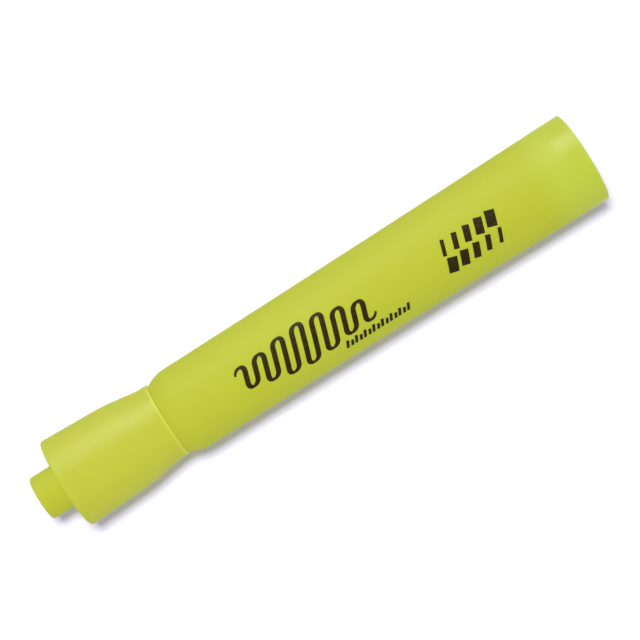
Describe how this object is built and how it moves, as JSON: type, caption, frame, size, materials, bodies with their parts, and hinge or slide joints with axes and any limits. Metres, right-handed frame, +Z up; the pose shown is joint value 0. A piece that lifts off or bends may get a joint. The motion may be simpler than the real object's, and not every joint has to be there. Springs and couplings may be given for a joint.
{
  "type": "highlighter",
  "caption": "Capped tank highlighter with a flared round barrel, a press-on cap whose end nub posts into a rear socket, a chisel felt nib and a wrapped fibre ink store.",
  "frame": {"origin": "on the surface that the pen lies on, below the middle of its length and its axis", "axes": "+X along the pen towards its rear end, with the cap's nub at -X; +Y across it, level with the nib's width; +Z up"},
  "size_m": [0.1272, 0.0194, 0.0195],
  "materials": {
    "fluorescent_plastic": "moulded fluorescent yellow polypropylene, slightly translucent, soft gloss",
    "natural_plastic": "moulded natural polypropylene",
    "nib_felt": "bonded polyester fibre, wet with ink",
    "ink_fibre": "fibre bundle soaked with fluorescent ink",
    "wrap_film": "thin clear film",
    "print_ink": "pad-printed dark brown ink"
  },
  "bodies": {
    "barrel": {"barrel": "fluorescent_plastic", "rear_plug": "fluorescent_plastic", "nib_holder": "natural_plastic", "nib": "nib_felt", "ink_core": "ink_fibre", "core_film": "wrap_film", "breather_tube": "natural_plastic"},
    "cap": {"cap_shell": "fluorescent_plastic", "cap_plug": "fluorescent_plastic"}
  },
  "joints": [
    {"name": "cap_pull", "type": "slide", "parent": "barrel", "child": "cap", "axis": [-1, 0, 0], "range_m": [0, 0.045]}
  ]
}
